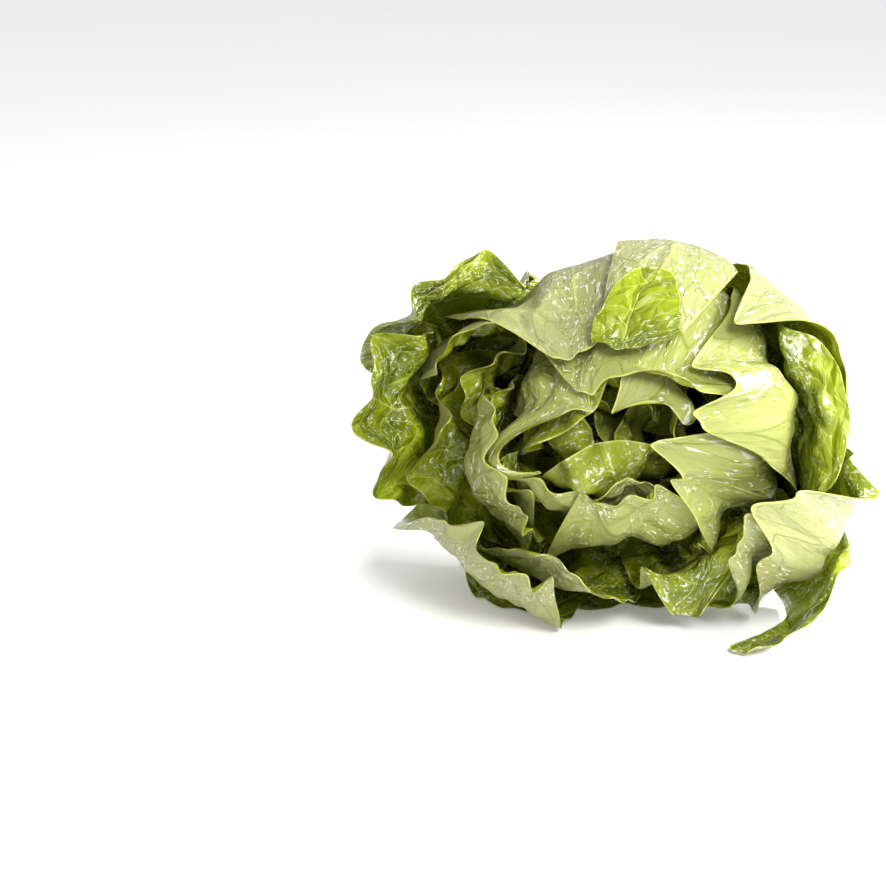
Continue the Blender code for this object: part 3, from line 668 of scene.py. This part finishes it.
def open_shape(leaf, cells, ripple, crease):
    """A leaf around the heart before it is laid."""
    flat_x, flat_y, edge = outline(*leaf_grid(cells), leaf.length, leaf.half)
    x, y = flat_x, flat_y
    along = y / leaf.length
    out = leaf.ruffle * edge_waves(x, y, edge, leaf.length, leaf.waves, leaf.phase, ripple)
    out = out + 0.55 * leaf.ruffle * ease(0.1, 0.6, along) * bumps(x, y, leaf.azimuth, LEAF_FOLD)
    out = out + crease * ease(0.1, 0.4, along) * bumps(x, y, 100 + leaf.azimuth, CREASE_SIZE)
    zone = TIP_ROLL * leaf.length
    start = leaf.length - zone
    y, lift = rolled(y - start, zone, leaf.tip)
    y, out = y + start, out + lift
    zone = SIDE_ROLL * leaf.half
    start = leaf.half - zone
    for side, turn in ((-1, leaf.left), (1, leaf.right)):
        past, lift = rolled(side * x - start, zone, turn)
        x = np.where(side * x > start, side * (past + start), x)
        out = out + lift * ease(0.2, 0.6, along)
    x, y = bent(x, y, leaf.length, leaf.bend)
    middle = math.radians(leaf.azimuth)
    y = np.maximum(y, 0.0)
    girth, _ = profile(np.full_like(y, middle), y, np.full_like(y, leaf.layer))
    azimuth = middle + x / np.hypot(girth, NARROWEST_WRAP)
    layer = leaf.layer + leaf.flare * ease(0.2, 1.0, along)
    gap = BASE_GAP + (LEAF_GAP - BASE_GAP) * ease(0.0, 0.25, along)
    return Shape(flat_x, flat_y, leaf.length, [azimuth, y], layer, out, gap)


def open_leaf(laid_plain, laid_fine, leaf, leaves_beneath):
    """One leaf that stands around the heart."""
    plain = open_shape(leaf, PLAIN_CELLS, PLAIN_RIPPLE, 0.0)
    shape = open_shape(leaf, FINE_CELLS, FINE_RIPPLE, CREASE_DEPTH)
    layer = lay(laid_plain, laid_fine, plain, shape, layer_size, LAYER_BLEND)
    azimuth, y = shape.at
    folds = sum(size * np.sin(round_head * azimuth + turn * y + phase)
                for size, round_head, turn, phase in HEAD_FOLDS)
    layer = layer + folds * ease(0.03, 0.13, y) / layer_size(azimuth, y, layer)
    return to_world(head_point(azimuth, y, layer), leaves_beneath), shape


open_materials = {
    "head_leaf": leaf_finish("head_leaf_skin", (0.14, 0.180, 0.003), (0.28, 0.34, 0.005), (0.64, 0.67, 0.15),
                             (0.32, 0.34, 0.095)),
    "wrapper_leaf": leaf_finish("wrapper_leaf_skin", (0.11, 0.150, 0.002), (0.26, 0.32, 0.004),
                                (0.66, 0.69, 0.16), (0.37, 0.38, 0.150)),
}
plain_leaves, fine_leaves = heart_reach(plain_heart, PLAIN_GRID), heart_reach(fine_heart, FINE_GRID)
for number, leaf in enumerate(HEAD_LEAVES):
    beneath = sum(other.azimuth > 180 for other in HEAD_LEAVES[number + 1:])
    kind = leaf.name[:-3]
    piece = blade(f"fine_{leaf.name}", HEART_LEAVES + number,
                  *open_leaf(plain_leaves, fine_leaves, leaf, beneath), open_materials[kind])
    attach(piece, "root")
    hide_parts(leaf.name)

# The studio is a plain pale floor, a broad soft light high on the right, a weaker one high in front, and
# white all round. The camera looks down at the rosette as the photograph does.

PHOTO_PIXELS = 886
HEART_PIXEL = (600, 430)
PIXELS_PER_METRE = 1850.0
CAMERA_DISTANCE, CAMERA_RISE = 1.0, math.radians(20)
HEART_AHEAD = 0.09                  # from the butt to the middle of the heart's face
SENSOR = 36.0


def floor():
    bpy.ops.mesh.primitive_plane_add(size=6.0, location=(0.0, 0.0, 0.0))
    plane = bpy.context.object
    plane.name = "floor"
    finish = Finish("pale_floor")
    place = finish.node("ShaderNodeTexCoord", {}, {}, "Object")
    shade = finish.mixed((0.88, 0.88, 0.88), (0.92, 0.92, 0.92), finish.noise(place, 0.5))
    plane.data.materials.append(finish.surface(finish.node("ShaderNodeBsdfPrincipled", {}, {
        "Base Color": shade, "Roughness": 0.6, "Emission Color": shade, "Emission Strength": 0.16})))


def soft_light(name, place, size, power, aim=(0.0, 0.0, 0.09)):
    light = bpy.data.lights.new(name, "AREA")
    light.energy, light.size = power, size
    lamp = bpy.data.objects.new(name, light)
    bpy.context.scene.collection.objects.link(lamp)
    lamp.location = place
    lamp.rotation_euler = (Vector(place) - Vector(aim)).to_track_quat("Z", "Y").to_euler()


def photo_camera():
    heart = Vector(BUTT + head_axes()[2] * HEART_AHEAD)
    middle = PHOTO_PIXELS / 2
    aim = heart + Vector((middle - HEART_PIXEL[0], 0.0, HEART_PIXEL[1] - middle)) / PIXELS_PER_METRE
    back = Vector((0.0, -math.cos(CAMERA_RISE), math.sin(CAMERA_RISE)))
    camera = bpy.data.objects.new("camera", bpy.data.cameras.new("camera"))
    bpy.context.scene.collection.objects.link(camera)
    camera.data.sensor_width = SENSOR
    camera.data.lens = SENSOR * PIXELS_PER_METRE * CAMERA_DISTANCE / PHOTO_PIXELS
    camera.location = aim + back * CAMERA_DISTANCE
    camera.rotation_euler = (-back).to_track_quat("-Z", "Y").to_euler()
    bpy.context.scene.camera = camera


floor()
soft_light("key", (0.95, 0.00, 0.70), 0.34, 26.0)
soft_light("fill", (0.30, -0.74, 0.78), 0.34, 11.5)
photo_camera()
world = bpy.data.worlds.new("white_room")
bpy.context.scene.world = world
world.use_nodes = True
world.node_tree.nodes["Background"].inputs["Color"].default_value = (1.0, 1.0, 1.0, 1.0)
world.node_tree.nodes["Background"].inputs["Strength"].default_value = 0.74
bpy.context.scene.view_settings.view_transform = "Standard"
